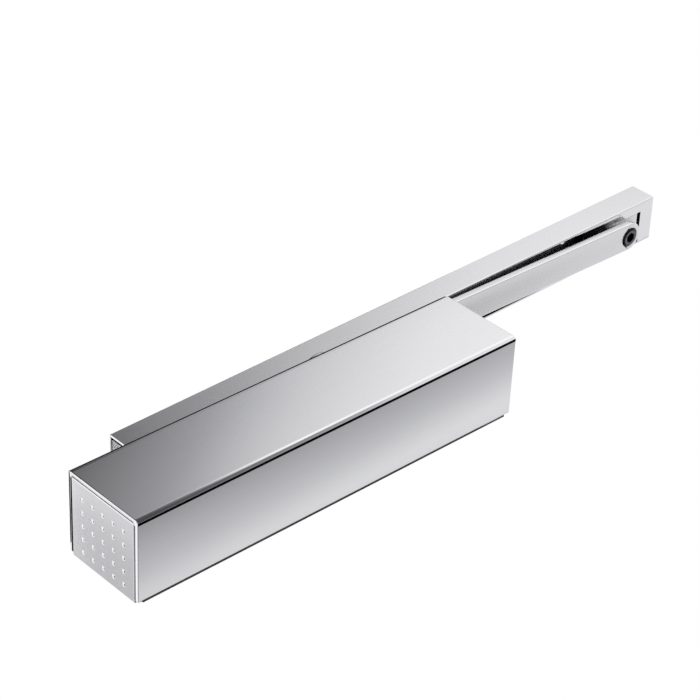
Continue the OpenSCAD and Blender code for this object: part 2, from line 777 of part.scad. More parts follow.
// This cap has a tapering tongue under the front lip, beside the slider's foot
module channel_cap_right() color("gainsboro") in_channel() {
    x_in = channel_right - channel_cap_l;
    wall_y = -inside_d / 2;
    channel_cap(x_in, channel_right);
    translate([0, 0, channel_z]) linear_extrude(height = lip_in) polygon([
        [x_in + 1, wall_y], [x_in + 1, -foot_w / 2 - slide_gap],
        [x_in - tongue_root, -foot_w / 2 - slide_gap], [x_in - tongue_mid, wall_y + tongue_mid_w],
        [x_in - tongue_l, wall_y + tongue_tip_w], [x_in - tongue_l, wall_y]]);
}

mounting_plate();
housing();
spring_end_plug();
damping_end_plug();
plug_seals();
upper_bush();
lower_bush();
spindle_seal();
bush_cap();
lower_bore_plug();
body_screws();
cover_clips();
main_spring();
light_spring();
spring_seat();
adjusting_screw();
spindle();
cam();
spring_piston();
spring_roller();
spring_roller_pin();
damping_piston();
damping_roller();
damping_roller_pin();
check_valve();
closing_valve();
latching_valve();
backcheck_valve();
delay_valve();
valve_seals();
cover_shell();
end_cap_left();
end_cap_right();
arm();
hub_screw();
pivot_screw();
pivot_bush();
slider_block();
slide_channel();
channel_cap_left();
channel_cap_right();
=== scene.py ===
import bmesh
import bpy
import numpy as np
from mathutils import Matrix, Vector


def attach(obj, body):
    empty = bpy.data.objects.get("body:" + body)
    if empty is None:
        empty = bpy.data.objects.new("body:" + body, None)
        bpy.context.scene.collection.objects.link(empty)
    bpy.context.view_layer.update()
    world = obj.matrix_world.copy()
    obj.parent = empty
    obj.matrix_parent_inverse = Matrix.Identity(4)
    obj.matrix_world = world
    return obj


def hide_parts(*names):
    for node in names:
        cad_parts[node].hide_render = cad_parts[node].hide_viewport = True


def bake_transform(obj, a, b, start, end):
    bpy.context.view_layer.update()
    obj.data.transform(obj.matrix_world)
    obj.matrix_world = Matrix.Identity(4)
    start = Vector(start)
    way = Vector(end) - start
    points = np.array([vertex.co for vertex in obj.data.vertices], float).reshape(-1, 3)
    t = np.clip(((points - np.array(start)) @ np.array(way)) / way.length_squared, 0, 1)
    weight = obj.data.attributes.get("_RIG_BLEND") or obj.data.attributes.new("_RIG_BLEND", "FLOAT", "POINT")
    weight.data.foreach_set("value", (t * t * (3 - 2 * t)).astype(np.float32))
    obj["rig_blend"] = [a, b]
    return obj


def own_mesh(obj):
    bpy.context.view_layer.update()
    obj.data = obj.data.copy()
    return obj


# A slim overhead door closer with a slide channel, seen from below and in front, as in its picture.
# X runs along the door's width, -Y points away from the door, +Z is up; lengths in metres.
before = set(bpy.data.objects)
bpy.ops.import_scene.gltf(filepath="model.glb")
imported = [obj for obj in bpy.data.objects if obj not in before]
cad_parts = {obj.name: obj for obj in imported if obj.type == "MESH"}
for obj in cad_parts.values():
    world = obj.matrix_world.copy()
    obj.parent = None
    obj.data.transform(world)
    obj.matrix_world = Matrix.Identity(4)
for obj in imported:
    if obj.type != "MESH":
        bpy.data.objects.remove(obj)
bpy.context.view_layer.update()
mm = 0.001

# Camera: fitted to the long straight edges of the cover and the channel

view = {
    "place": (-0.7569, -0.8203, -0.8154),
    "forward": (0.58261, 0.54818, 0.60006),
    "up": (0.34421, -0.83524, 0.42883),
    "lens": 123.3,
    "sensor": 36.0,
}


def addObject(name, data):
    thing = bpy.data.objects.new(name, data)
    bpy.context.scene.collection.objects.link(thing)
    return thing


def makeCamera():
    forward = Vector(view["forward"]).normalized()
    right = forward.cross(Vector(view["up"])).normalized()
    up = right.cross(forward)
    data = bpy.data.cameras.new("camera")
    data.lens = view["lens"]
    data.sensor_width = view["sensor"]
    camera = addObject("camera", data)
    turn = Matrix((right, up, -forward)).transposed().to_4x4()
    camera.matrix_world = Matrix.Translation(view["place"]) @ turn
    bpy.context.scene.camera = camera


makeCamera()
bpy.context.scene.view_settings.view_transform = "Standard"
print("camera placed")

# Places that several pieces share, in millimetres, and turns about Z, in degrees, at rest

boreY = -30.8  # the main bore runs along X at this y
spindleAt = (50, boreY)
pivotAt = (322.654, -25.803)
armTurn = 1.05
channelTurn = -0.91
level = 0.4  # a wide face ends in a flat strip so wide, which keeps smooth shading level on it

# Small helpers for nodes and finishes


def hexColour(text):  # an sRGB hex colour as linear light
    part = np.array([int(text[i:i + 2], 16) for i in (1, 3, 5)]) / 255
    linear = np.where(part <= 0.04045, part / 12.92, ((part + 0.055) / 1.055) ** 2.4)
    return (*linear.tolist(), 1.0)


def addNode(tree, kind, links=None, **settings):  # a link's value is a socket or a fixed value
    node = tree.nodes.new(kind)
    for key, value in settings.items():
        setattr(node, key, value)
    for key, value in (links or {}).items():
        if isinstance(value, bpy.types.NodeSocket):
            tree.links.new(value, node.inputs[key])
        else:
            node.inputs[key].default_value = value
    return node


def grainNoise(tree, place, size, stretch=(1, 1, 1), detail=2.0, turn=0.0):
    # noise whose lumps, 0.6 of its own cells, measure about size millimetres, drawn out along an
    # axis by its stretch
    links = {"Vector": place, "Scale": [1 / s for s in stretch], "Rotation": (0, 0, turn)}
    mapped = addNode(tree, "ShaderNodeMapping", links)
    links = {"Vector": mapped.outputs[0], "Scale": 0.6 / (size * mm), "Detail": detail, "Roughness": 0.55}
    return addNode(tree, "ShaderNodeTexNoise", links).outputs["Fac"]


def spread(tree, value, low, high, start=0.3, end=0.7):  # a value from start to end becomes low to high
    links = {"Value": value, "From Min": start, "From Max": end, "To Min": low, "To Max": high}
    return addNode(tree, "ShaderNodeMapRange", links).outputs["Result"]


def between(tree, share, first, second):  # share 0 is the first colour, 1 is the second
    links = {0: share, 6: first, 7: second}
    return addNode(tree, "ShaderNodeMix", links, data_type="RGBA").outputs[2]


def deepToPale(tree, noise, look, *limits):
    share = spread(tree, noise, 0, 1, *limits)
    return between(tree, share, hexColour(look["deep"]), hexColour(look["pale"]))


def makeFinish(name, kind, look):
    # the kind, one of the functions below, gives the principled shader's colour and roughness, and
    # a height that becomes a relief of so many millimetres
    material = bpy.data.materials.new(name)
    material.use_nodes = True
    tree = material.node_tree
    place = addNode(tree, "ShaderNodeTexCoord").outputs["Object"]
    colour, rough, height = kind(tree, place, look)
    links = {"Height": height, "Distance": look["relief"] * mm, "Strength": 1.0}
    bump = addNode(tree, "ShaderNodeBump", links)
    shader = tree.nodes["Principled BSDF"]
    for name, value in (("Base Color", colour), ("Roughness", rough), ("Normal", bump.outputs[0])):
        tree.links.new(value, shader.inputs[name])
    shader.inputs["Metallic"].default_value = look.get("metal", 1.0)
    shader.inputs["IOR"].default_value = look.get("ior", 1.5)
    return material


# Satin metal. Extruded aluminium, etched and anodised in natural silver, shows a fine even grain
# and faint die lines along its length; cast zinc, blasted or lacquered, mostly the grain. The real
# grain is near 0.05 mm, too fine to show here, so it is drawn at the size in the look.
def satinMetal(tree, place, look):
    grain = grainNoise(tree, place, look["grain"], detail=3.0)
    lines = grainNoise(tree, place, look["line"], look["along"], turn=look.get("turn", 0.0))
    cloud = grainNoise(tree, place, look["cloud"], detail=1.0)
    tone = 0.0
    for noise, share in ((grain, 0.65), (lines, 0.2), (cloud, 0.15)):  # their weighted sum
        links = {0: noise, 1: share, 2: tone}
        tone = addNode(tree, "ShaderNodeMath", links, operation="MULTIPLY_ADD").outputs[0]
    low, high = 0.35, 0.65  # nearly all of the sum lies between these
    colour = deepToPale(tree, tone, look, low, high)
    return colour, spread(tree, tone, *look["rough"], low, high), tone


# Metal turned or ground on a lathe: fine rings about its axis on faces and along its sides. Real
# tool marks are near 0.1 mm apart and are drawn at the pitch in the look.
def turnedMetal(tree, place, look):
    flat = [0.0 if axis == look["axis"] else 1.0 for axis in "xyz"]
    keep = [1.0 - part for part in flat]
    centre = [-c * mm for c in look["centre"]]
    kind = "ShaderNodeVectorMath"
    moved = addNode(tree, kind, {0: place, 1: centre}, operation="ADD").outputs[0]
    across = addNode(tree, kind, {0: moved, 1: flat}, operation="MULTIPLY").outputs[0]
    radius = addNode(tree, kind, {0: across}, operation="LENGTH").outputs["Value"]
    along = addNode(tree, kind, {0: moved, 1: keep}, operation="DOT_PRODUCT").outputs["Value"]
    pair = addNode(tree, "ShaderNodeCombineXYZ", {"X": radius, "Y": along}).outputs[0]
    rings = grainNoise(tree, pair, look["pitch"])
    grain = grainNoise(tree, place, look["grain"])
    blotch = grainNoise(tree, place, look["blotch"])
    colour = deepToPale(tree, blotch, look)
    specked = between(tree, spread(tree, grain, 0.0, 0.35), colour, hexColour(look["speck"]))
    return specked, spread(tree, rings, *look["rough"]), rings


# Die-cast aluminium, shot-blasted: a matt grey metal with shallow round pits
def castAluminium(tree, place, look):
    links = {"Vector": place, "Scale": 1 / (look["pit"] * mm), "Smoothness": 0.6}
    pits = addNode(tree, "ShaderNodeTexVoronoi", links, feature="SMOOTH_F1").outputs["Distance"]
    flow = grainNoise(tree, place, look["flow"], (3, 1, 1), detail=4.0)
    colour = deepToPale(tree, flow, look)
    pitted = between(tree, spread(tree, pits, 0.0, 0.4, 0.2, 0.7), colour, hexColour(look["pale"]))
    return pitted, spread(tree, flow, *look["rough"]), pits


# Sheet steel, phosphated and oiled black: dark crystals a few tenths of a millimetre across,
# a little shinier where they are worn
def blackenedSteel(tree, place, look):
    links = {"Vector": place, "Scale": 1 / (look["crystal"] * mm)}
    crystal = addNode(tree, "ShaderNodeTexVoronoi", links, feature="F1").outputs["Distance"]
    rub = grainNoise(tree, place, look["rub"], (4, 1, 1), detail=4.0)
    colour = deepToPale(tree, crystal, look, 0.0, 0.8)
    worn = between(tree, spread(tree, rub, 0, 0.5, 0.55, 0.75), colour, hexColour(look["worn"]))
    return worn, spread(tree, rub, *reversed(look["rough"])), crystal


# Smooth moulded or painted surface: one colour with a faint mottle and a fine orange peel. Where the look
# has a shade colour, painted shade lies dark up to one x and thins out to another.
def mouldedSurface(tree, place, look):
    peel = grainNoise(tree, place, look["peel"])
    mottle = grainNoise(tree, place, look["mottle"], detail=3.0)
    colour = deepToPale(tree, mottle, look)
    if "shadeColour" in look:
        along = addNode(tree, "ShaderNodeSeparateXYZ", {0: place}).outputs["X"]
        unshaded = spread(tree, along, 0, 1, look["from"] * mm, look["to"] * mm)
        colour = between(tree, unshaded, hexColour(look["shadeColour"]), colour)
    return colour, spread(tree, peel, *look["rough"]), peel


# Drawn and oil-tempered spring wire: dark grey steel with fine lengthwise scratches
def springWire(tree, place, look):
    scratch = grainNoise(tree, place, look["scratch"], (1, 5, 5), detail=3.0)
    scale = grainNoise(tree, place, look["scale"], detail=3.0)
    colour = deepToPale(tree, scale, look)
    return colour, spread(tree, scratch, *look["rough"]), scratch


# The body's and the channel's satin silver; long parts shine softly and their cut edges brightly
extruded = {"grain": 0.5, "line": 0.5, "along": (60, 1, 1), "cloud": 40}
coverSilver = makeFinish("coverSatinAnodised", satinMetal, {
    **extruded, "pale": "#e8e8ea", "deep": "#e1e1e4", "rough": (0.15, 0.2), "relief": 0.006})
channelSilver = makeFinish("channelSatinAnodised", satinMetal, {
    **extruded, "pale": "#e6e6e8", "deep": "#e0e0e2", "rough": (0.15, 0.2), "relief": 0.004,
    "turn": np.radians(-channelTurn)})
edgeSilver = makeFinish("edgesBurnished", satinMetal, {
    **extruded, "pale": "#eaeaec", "deep": "#e5e5e7", "rough": (0.04, 0.08), "relief": 0.0005})
# Die-cast zinc under a smooth satin lacquer, so without a grain along its length
lacquered = {"grain": 0.5, "line": 0.6, "along": (1, 1, 1), "cloud": 30, "relief": 0.001}
capSilver = makeFinish("endCapSatinLacquer", satinMetal, {
    **lacquered, "pale": "#e8e8ea", "deep": "#e2e2e5", "rough": (0.08, 0.12)})
channelCapMetal = makeFinish("channelCapSatinLacquer", satinMetal, {
    **lacquered, "pale": "#eaeaec", "deep": "#e4e4e6", "rough": (0.05, 0.08)})
armSilver = makeFinish("armBlastedZinc", satinMetal, {  # blasted, so duller than the cover
    "pale": "#e3e3e5", "deep": "#dcdcdf", "grain": 0.5, "line": 0.4, "along": (25, 1, 1),
    "cloud": 25, "rough": (0.26, 0.33), "relief": 0.004, "turn": np.radians(-armTurn)})
# Painted shade: the grooves, the gaps round the end plates and the channel's inside take a near black finish
# that hardly reflects, standing in for the shade in them
paintedShade = makeFinish("grooveShadePainted", mouldedSurface, {
    "pale": "#0b0b0c", "deep": "#060607", "peel": 0.4, "mottle": 3, "metal": 0.0, "ior": 1.15,
    "rough": (0.7, 0.85), "relief": 0.004})
castHousing = makeFinish("castAluminiumBlasted", castAluminium, {
    "pale": "#c9cacc", "deep": "#a3a5a8", "pit": 0.9, "flow": 9, "rough": (0.48, 0.62), "relief": 0.05})
blackPlate = makeFinish("steelPhosphatedBlack", blackenedSteel, {
    "pale": "#202022", "deep": "#131314", "worn": "#313134", "metal": 0.0, "crystal": 0.45, "rub": 5,
    "rough": (0.5, 0.65), "relief": 0.01})
sealRubber = makeFinish("sealNitrileRubber", mouldedSurface, {  # black moulded rubber with a dull skin
    "pale": "#232326", "deep": "#17171a", "peel": 0.25, "mottle": 2, "metal": 0.0, "ior": 1.52,
    "rough": (0.5, 0.65), "relief": 0.01})
sliderPlastic = makeFinish("sliderAcetalShadePainted", mouldedSurface, {  # pale acetal, with painted shade over its end deep in the slot
    "pale": "#eaeaeb", "deep": "#e0e0e2", "shadeColour": "#0a0a0b", "from": 308, "to": 320,
    "peel": 0.5, "mottle": 8, "metal": 0.0, "ior": 1.48,
    "rough": (0.34, 0.46), "relief": 0.006})
springSteel = makeFinish("springWireOilTempered", springWire, {
    "pale": "#8e9094", "deep": "#63656a", "scratch": 0.5, "scale": 4, "rough": (0.28, 0.42),
    "relief": 0.01})
clipSteel = makeFinish("springStripBright", springWire, {  # bright rolled strip, paler than the wire
    "pale": "#c4c6ca", "deep": "#a4a6ab", "scratch": 0.6, "scale": 5, "rough": (0.24, 0.36),
    "relief": 0.006})

boreAxis = {"axis": "x", "centre": (0, boreY, 0)}
spindleAxis = {"axis": "z", "centre": (*spindleAt, 0)}
pivotAxis = {"axis": "z", "centre": (*pivotAt, 0)}
screwAxis = {"axis": "y", "centre": (0, 0, 0)}
valveAxis = {"axis": "y", "centre": (84, 0, 22.3)}
turnedLook = {"pale": "#cfd1d4", "deep": "#b4b7bb", "speck": "#9a9da1", "pitch": 0.5, "grain": 0.6,
              "blotch": 6.0, "rough": (0.24, 0.38), "relief": 0.012}
# Sintered bronze: warm brown metal with dark pores; zinc plate: pale bluish silver
bronzeLook = {**turnedLook, "pale": "#c49a62", "deep": "#a87c46", "speck": "#6e4f2c",
              "rough": (0.32, 0.46), "grain": 0.4}
zincLook = {**turnedLook, "pale": "#d5d8de", "deep": "#bdc1c9", "speck": "#a4a8b2", "rough": (0.2, 0.32)}
plugMetal = makeFinish("plugTurnedAluminium", turnedMetal, {**turnedLook, **boreAxis})
capMetal = makeFinish("boreCapTurnedAluminium", turnedMetal, {**turnedLook, **spindleAxis})
pistonSteel = makeFinish("pistonTurnedSteel", turnedMetal, {
    **turnedLook, **boreAxis, "pale": "#bfc1c4", "deep": "#a2a5a9", "speck": "#85888c"})
groundSteel = makeFinish("spindleGroundSteel", turnedMetal, {  # ground after hardening: finer and shinier
    **turnedLook, **spindleAxis, "pale": "#c5c4c1", "deep": "#aaa9a6", "speck": "#8d8c8a",
    "rough": (0.16, 0.28), "pitch": 0.35, "relief": 0.006})
bushBronze = makeFinish("bushSinteredBronze", turnedMetal, {**bronzeLook, **spindleAxis})
pivotBronze = makeFinish("pivotBushSinteredBronze", turnedMetal, {**bronzeLook, **pivotAxis})
zincScrew = makeFinish("screwZincPlated", turnedMetal, {**zincLook, **screwAxis})
hubZinc = makeFinish("hubScrewZincPlated", turnedMetal, {**zincLook, **spindleAxis})
adjusterZinc = makeFinish("adjusterZincPlated", turnedMetal, {**zincLook, **boreAxis})
blackScrew = makeFinish("screwBlackOxide", turnedMetal, {  # black oxide over turned steel
    **turnedLook, **pivotAxis, "pale": "#2e2e31", "deep": "#1c1c1f", "speck": "#121214",
    "rough": (0.26, 0.4), "pitch": 0.4})
screwFace = makeFinish("screwFaceGround", turnedMetal, {  # the head's face, ground grey
    **turnedLook, **pivotAxis, "pale": "#74747a", "deep": "#56565b", "speck": "#3c3c40",
    "rough": (0.2, 0.34), "pitch": 0.6})
valveBrass = makeFinish("valveTurnedBrass", turnedMetal, {  # yellow metal
    **turnedLook, **valveAxis, "pale": "#d9b765", "deep": "#bf9a48", "speck": "#96753a",
    "rough": (0.2, 0.34)})
print("finishes made:", len(bpy.data.materials))

# From points to a finished piece


def gridFaces(stations, points, loopPath=False):
    # quads of a grid of closed profiles: a point, the next one round, and both at the next station
    i = np.arange(stations if loopPath else stations - 1)[:, None]
    j = np.arange(points)[None, :]
    ahead, beside = (i + 1) % stations, (j + 1) % points
    quads = [i * points + j, i * points + beside, ahead * points + beside, ahead * points + j]
    return np.stack(quads, -1).reshape(-1, 4)


def endFaces(stations, points, start=0):  # a face over the grid's first profile and over its last
    return [list(range(at, at + points)) for at in (start, start + (stations - 1) * points)]


def standAt(x, outline):  # an outline of points (y, z) stood up at x
    return np.column_stack([np.full(len(outline), x), outline])


def roundCorner(centre, radius, start, end, steps=5):  # points of an arc, angles in degrees
    angle = np.radians(np.linspace(start, end, steps))
    return np.stack([centre[0] + radius * np.cos(angle), centre[1] + radius * np.sin(angle)], -1)


def placed(points, centre, turn):  # points turned about Z by so many degrees, then moved to centre
    angle = np.radians(turn)
    x, y, z = np.moveaxis(np.asarray(points, float), -1, 0)
    return np.stack([centre[0] + x * np.cos(angle) - y * np.sin(angle),
                     centre[1] + x * np.sin(angle) + y * np.cos(angle), z], -1)


def spun(rings, centre, turn):
    # rings (radius, height) turned about Z; a radius may hold one value for each angle of turn
    return [np.stack([centre[0] + radius * np.cos(turn), centre[1] + radius * np.sin(turn),
                      np.full(len(turn), z)], -1) for radius, z in rings]


weld = 0.002  # corners this near, in millimetres, become one
planar = 0.6  # neighbouring faces this near in direction, in degrees, become one


def dressPiece(name, mesh, look):
    work = bmesh.new()
    work.from_mesh(mesh)
    bmesh.ops.remove_doubles(work, verts=work.verts, dist=weld * mm)
    if look.get("copied"):  # a CAD mesh has triangles
        bmesh.ops.dissolve_limit(work, angle_limit=np.radians(planar), verts=work.verts, edges=work.edges)
    bmesh.ops.recalc_face_normals(work, faces=work.faces)
    openEdges = sum(not edge.is_manifold for edge in work.edges)
    work.to_mesh(mesh)
    work.free()
    for material in look["finish"]:
        mesh.materials.append(material)
    mesh.shade_smooth()
    piece = addObject(name, mesh)
    if look.get("edge"):
        bevel = piece.modifiers.new("brokenEdge", "BEVEL")
        bevel.width = look["edge"] * mm
        bevel.segments = 2
        bevel.limit_method = "ANGLE"
        bevel.angle_limit = np.radians(look.get("angle", 40))
        bevel.harden_normals = True
    else:
        mesh.set_sharp_from_angle(angle=np.radians(look.get("angle", 35)))
    if look["body"]:  # a piece between two bodies is blended instead
        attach(piece, look["body"])
    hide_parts(look["node"])
    print(f"{name}: {len(mesh.polygons)} faces, {openEdges} open edges")
    return piece


def newPiece(name, points, faces, look, groups=None):  # points in millimetres
    mesh = bpy.data.meshes.new(name)
    corners = (np.asarray(points, float).reshape(-1, 3) * mm).tolist()
    mesh.from_pydata(corners, [], faces)
    if groups is not None:
        mesh.polygons.foreach_set("material_index", np.asarray(groups, np.int32))
    return dressPiece(name, mesh, look)


def copiedPiece(name, look):  # the CAD node's own shape, merged, with its sharp edges broken
    work = bmesh.new()
    work.from_mesh(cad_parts[look["node"]].data)
    mesh = bpy.data.meshes.new(name)
    work.to_mesh(mesh)
    work.free()
    for attribute in [a.name for a in mesh.attributes if a.name in ("custom_normal", "sharp_edge")]:
        mesh.attributes.remove(mesh.attributes[attribute])
    mesh.polygons.foreach_set("material_index", np.zeros(len(mesh.polygons), np.int32))
    return dressPiece(name, mesh, {"copied": True, **look})


# Cover: a U-shaped extrusion whose long front edges are drawn in over a soft arc, with a shadow
# groove behind each of them, and whose cut ends are rounded

cover = {
    "half": 142, "height": 30, "front": -56, "rear": -1.5, "wall": 2, "soft": 5.87, "softFrom": 26.8,
    "grooveFrom": -53, "grooveTo": -54.9, "grooveDepth": 1.1, "grooveStop": 0.5,
    "notch": spindleAt, "notchR": 8.5, "chamfer": 2, "endSide": (1.8, 0.45), "endFront": (0.7, 1.2),
    "endInside": 0.15, "rearRound": 0.8,
    "finish": [coverSilver, paintedShade, edgeSilver], "body": "cover", "node": "cover_shell",
    "slot": "cover_satin_silver", "edge": 0.1,
}


footAlong, footAcross = 1.4, 0.08  # a cut edge's shallow foot, in parts of its chamfer's widths


def endRounding(side, front, inner, fall, count=13):
    # (drop, inset of the sides, inset of the front, inner inset) over a cut end from its crest,
    # where drop is 0, to the full section: the sides are a chamfer of the widths (across, along)
    # in side, with its foot, the front a quarter ellipse of those in front, the inner edge a circle
    angle = np.radians(np.linspace(0, 90, count))
    drop = fall * (1 - np.cos(angle))
    sides = np.interp(drop, [0, side[1], side[1] * footAlong], [side[0], side[0] * footAcross, 0])
    left = np.clip(1 - drop / front[1], 0, 1)
    fronts = front[0] * (1 - np.sqrt(1 - left ** 2))
    left = np.clip(inner - drop, 0, inner)
    inside = inner - np.sqrt(inner ** 2 - left ** 2)
    return np.stack([drop, sides, fronts, inside], -1)


def coverProfile(grooveDepth, rearTop, inset=0.0, frontInset=0.0, inside=0.0):
    # the U as a closed loop of (y, z): outer side from the top rear edge round the front to the
    # bottom rear edge, then back along the inner side; the top leg ends at rearTop
    c = cover
    h, inner, rear = c["height"] - inset, c["height"] - c["wall"] + inside, c["rear"] - inset / 2
    deep, turnTop = h - grooveDepth, min(rearTop, c["notch"][1])
    upper = [(min(rearTop, rear), h), (turnTop, h), (c["grooveFrom"], h), (c["grooveFrom"], deep),
             (c["grooveTo"], deep), (c["grooveTo"], h)]
    high, deepR = c["soft"] - inset, c["soft"] - frontInset
    angle = np.linspace(np.arcsin((c["height"] - c["softFrom"] - inset) / high), 0, 9)
    corner = np.stack([c["front"] + c["soft"] - deepR * np.cos(angle),
                       c["softFrom"] + high * np.sin(angle)], -1)
    corner = np.concatenate([corner, [(c["front"] + frontInset, c["softFrom"] - level)]])
    edge = c["rearRound"]
    lower = [*[(y, -z) for y, z in upper[:1:-1]], (rear - edge - level, -h),
             *roundCorner((rear - edge, edge - h), edge, -90, 0)]
    front, chamfer = c["front"] + c["wall"] - inside, c["chamfer"]
    inward = [(rear, -inner), (front + chamfer, -inner), (front, chamfer - inner),
              (front, inner - chamfer), (front + chamfer, inner), (turnTop, inner),
              (min(rearTop, rear), inner)]
    return np.concatenate([upper, corner, corner[::-1] * (1, -1), lower, inward])


def makeCover():
    # the profile carried along X; the groove closes just before each end and the top leg opens
    # in a round notch for the arm's boss
    c = cover
    stop = c["half"] - c["grooveStop"]
    turn = np.radians(np.linspace(0, 180, 25))
    notchX = c["notch"][0] - c["notchR"] * np.cos(turn)
    notchY = c["notch"][1] - c["notchR"] * np.sin(turn)
    rounding = endRounding(c["endSide"], c["endFront"], c["endInside"], c["endFront"][1])
    left = [(drop - c["half"], *insets) for drop, *insets in rounding]
    closed = [(x, 0, c["rear"], *insets) for x, *insets in left if x < -stop]
    opened = [(x, 1, c["rear"], *insets) for x, *insets in left if x > -stop]
    atStop = [np.interp(-stop, rounding[:, 0] - c["half"], rounding[:, i]) for i in (1, 2, 3)]
    start = [*closed, (-stop, 0, c["rear"], *atStop), (-stop, 1, c["rear"], *atStop), *opened]
    acrossNotch = zip([notchX[0], *notchX, notchX[-1]], [c["rear"], *notchY, c["rear"]])
    middle = [(x, 1, y, 0, 0, 0) for x, y in acrossNotch]
    rows = start + middle + [(-x, *rest) for x, *rest in reversed(start)]
    stations = [standAt(x, coverProfile(c["grooveDepth"] * grooved, rear, *insets))
                for x, grooved, rear, *insets in rows]
    count = len(stations[0])
    faces = gridFaces(len(rows), count)
    first, last = endFaces(len(rows), count)
    station, segment = np.divmod(np.arange(len(faces)), count)
    grooved = np.array([row[1] for row in rows])
    # segments 2 to 4 and 26 to 28 of the profile are the grooves, 6 to 13 and 17 to 24 the soft
    # front arcs, 31 to 34 the lower rear edge
    # the grooves' faces take the near black finish: painted shade in them
    dark = np.isin(segment, [*range(2, 5), *range(26, 29)])
    dark &= (grooved[station] + grooved[station + 1]) > 0
    burnished = np.isin(segment, [*range(6, 14), *range(17, 25), *range(31, 35)])
    burnished |= (station < len(rounding) - 1) | (station >= len(rows) - len(rounding))
    groups = np.concatenate([np.where(dark, 1, 2 * burnished), [2, 2]])
    newPiece("coverShell", stations, [*faces.tolist(), first, last[::-1]], c, groups)


makeCover()

# End caps: an inset plate with a 5 by 5 grid of small raised dots, on a thin inner plate

endCap = {
    "face": 142, "step": 140, "inner": 138.5, "low": -53, "high": 0, "side": 27,
    "innerLow": -54, "innerHigh": -1.5, "innerSide": 28, "chamfer": 2, "round": 0.5, "strip": 0.15,
    "dotR": 1.5, "dotH": 0.49, "dotFoot": 0.08, "pitch": 8.9, "dotY": -25, "spokes": 32,
    "finish": [capSilver, paintedShade], "body": "cover", "slot": "end_cap_satin_silver",
}


def dotCell():
    # rings (y, z, height) of one square cell round a dot: the dot is a cap of a sphere, its height
    # sqrt(R^2 - rho^2) - R + dotH at the distance rho, where R = (dotR^2 + dotH^2) / (2 dotH)
    c = endCap
    turn = np.linspace(0, 2 * np.pi, c["spokes"], endpoint=False)
    square = c["pitch"] / 2 / np.maximum(abs(np.cos(turn)), abs(np.sin(turn)))
    sphere = (c["dotR"] ** 2 + c["dotH"] ** 2) / (2 * c["dotH"])
    rho = np.linspace(0, c["dotR"], 8)
    height = np.sqrt(sphere ** 2 - rho ** 2) - sphere + c["dotH"]
    rings = [*zip(rho, height), (c["dotR"] + c["dotFoot"], 0), (square, 0)]
    return np.array(spun(rings, (0, 0), turn))


def makeEndCap(side, name, node):
    # a square cell for each dot, then loops round all cells: to the face's border, round the edge,
    # down to the step, out to the inner plate and back
    c = endCap
    r = c["round"]
    cellY, cellZ, height = np.moveaxis(dotCell(), -1, 0)
    centres = np.arange(-2, 3) * c["pitch"]
    cells = [np.stack([side * (c["face"] + height), cellY + y + c["dotY"], cellZ + z], -1)
             for y in centres for z in centres]
    cellFaces = gridFaces(*height.shape)
    grid = np.concatenate([cellFaces + i * height.size for i in range(len(cells))])
    part = np.tan(np.radians(np.arange(-45, 45, 360 / c["spokes"]))) * c["pitch"] / 2
    line = (centres[:, None] + part).ravel()
    far = np.full(len(line), 2.5 * c["pitch"])
    sides = ((line, -far), (far, line), (-line, far), (-far, -line))
    loop = np.concatenate([np.column_stack(pair) for pair in sides])
    middle, halfY = (c["low"] + c["high"]) / 2, (c["high"] - c["low"]) / 2 - r
    border = loop / far[0] * (halfY, c["side"] - r) + (middle, 0)
    out = np.where(abs(abs(loop) - far[0]) < 1e-6, np.sign(loop), 0.0)
    onFace = (loop + (c["dotY"], 0), border - out * c["strip"], border)
    rings = [standAt(side * c["face"], at) for at in onFace]
    for angle in np.radians([30, 60, 90]):
        grow, drop = r * np.sin(angle), r * (1 - np.cos(angle))
        rings.append(standAt(side * (c["face"] - drop), border + out * grow))
    atStep = rings[-1] * (0, 1, 1) + (side * c["step"], 0, 0)
    share = (atStep[:, 1] - c["low"]) / (c["high"] - c["low"])
    innerY = c["innerLow"] + share * (c["innerHigh"] - c["innerLow"])
    limit = c["innerSide"] - np.maximum(0, c["innerLow"] + c["chamfer"] - innerY)
    innerZ = np.clip(atStep[:, 2] * c["innerSide"] / c["side"], -limit, limit)
    onStep = np.stack([atStep[:, 0], innerY, innerZ], -1)
    onBack = onStep * (0, 1, 1) + (side * c["inner"], 0, 0)
    rings += [atStep, onStep, onBack]
    count = len(loop)
    start = len(cells) * height.size
    bands = gridFaces(len(rings), count) + start
    back = endFaces(len(rings), count, start)[1]
    faces = [*grid.tolist(), *bands.tolist(), back]
    groups = np.zeros(len(faces), int)
    # the bands in the gap round the plate take the near black finish: painted shade in the gap
    groups[len(grid) + 5 * count:len(grid) + 8 * count] = 1  # the three bands behind the edge are dark
    points = np.concatenate([np.reshape(cells, (-1, 3)), *rings])
    newPiece(name, points, faces, {**c, "node": node}, groups)


makeEndCap(-1, "endCapLeft", "end_cap_left")
makeEndCap(1, "endCapRight", "end_cap_right")

# Arm: a flat bar with a round tip, on a hub with a boss that fits the spindle's square

arm = {
    "length": 272.7, "half": 10, "hub": 14, "boss": 12,
    "low": 38.5, "high": 43.5, "bossLow": 31, "square": 4.9, "screwHole": 3.2, "headHole": 6.4,
    "headFloor": 40.5, "pivotHead": 6.9, "pivotFloor": 41.5, "pivotHole": 4, "round": 0.8,
    "finish": [armSilver, edgeSilver], "body": "swing_arm", "node": "arm", "slot": "arm_steel",
    "angle": 32,
}


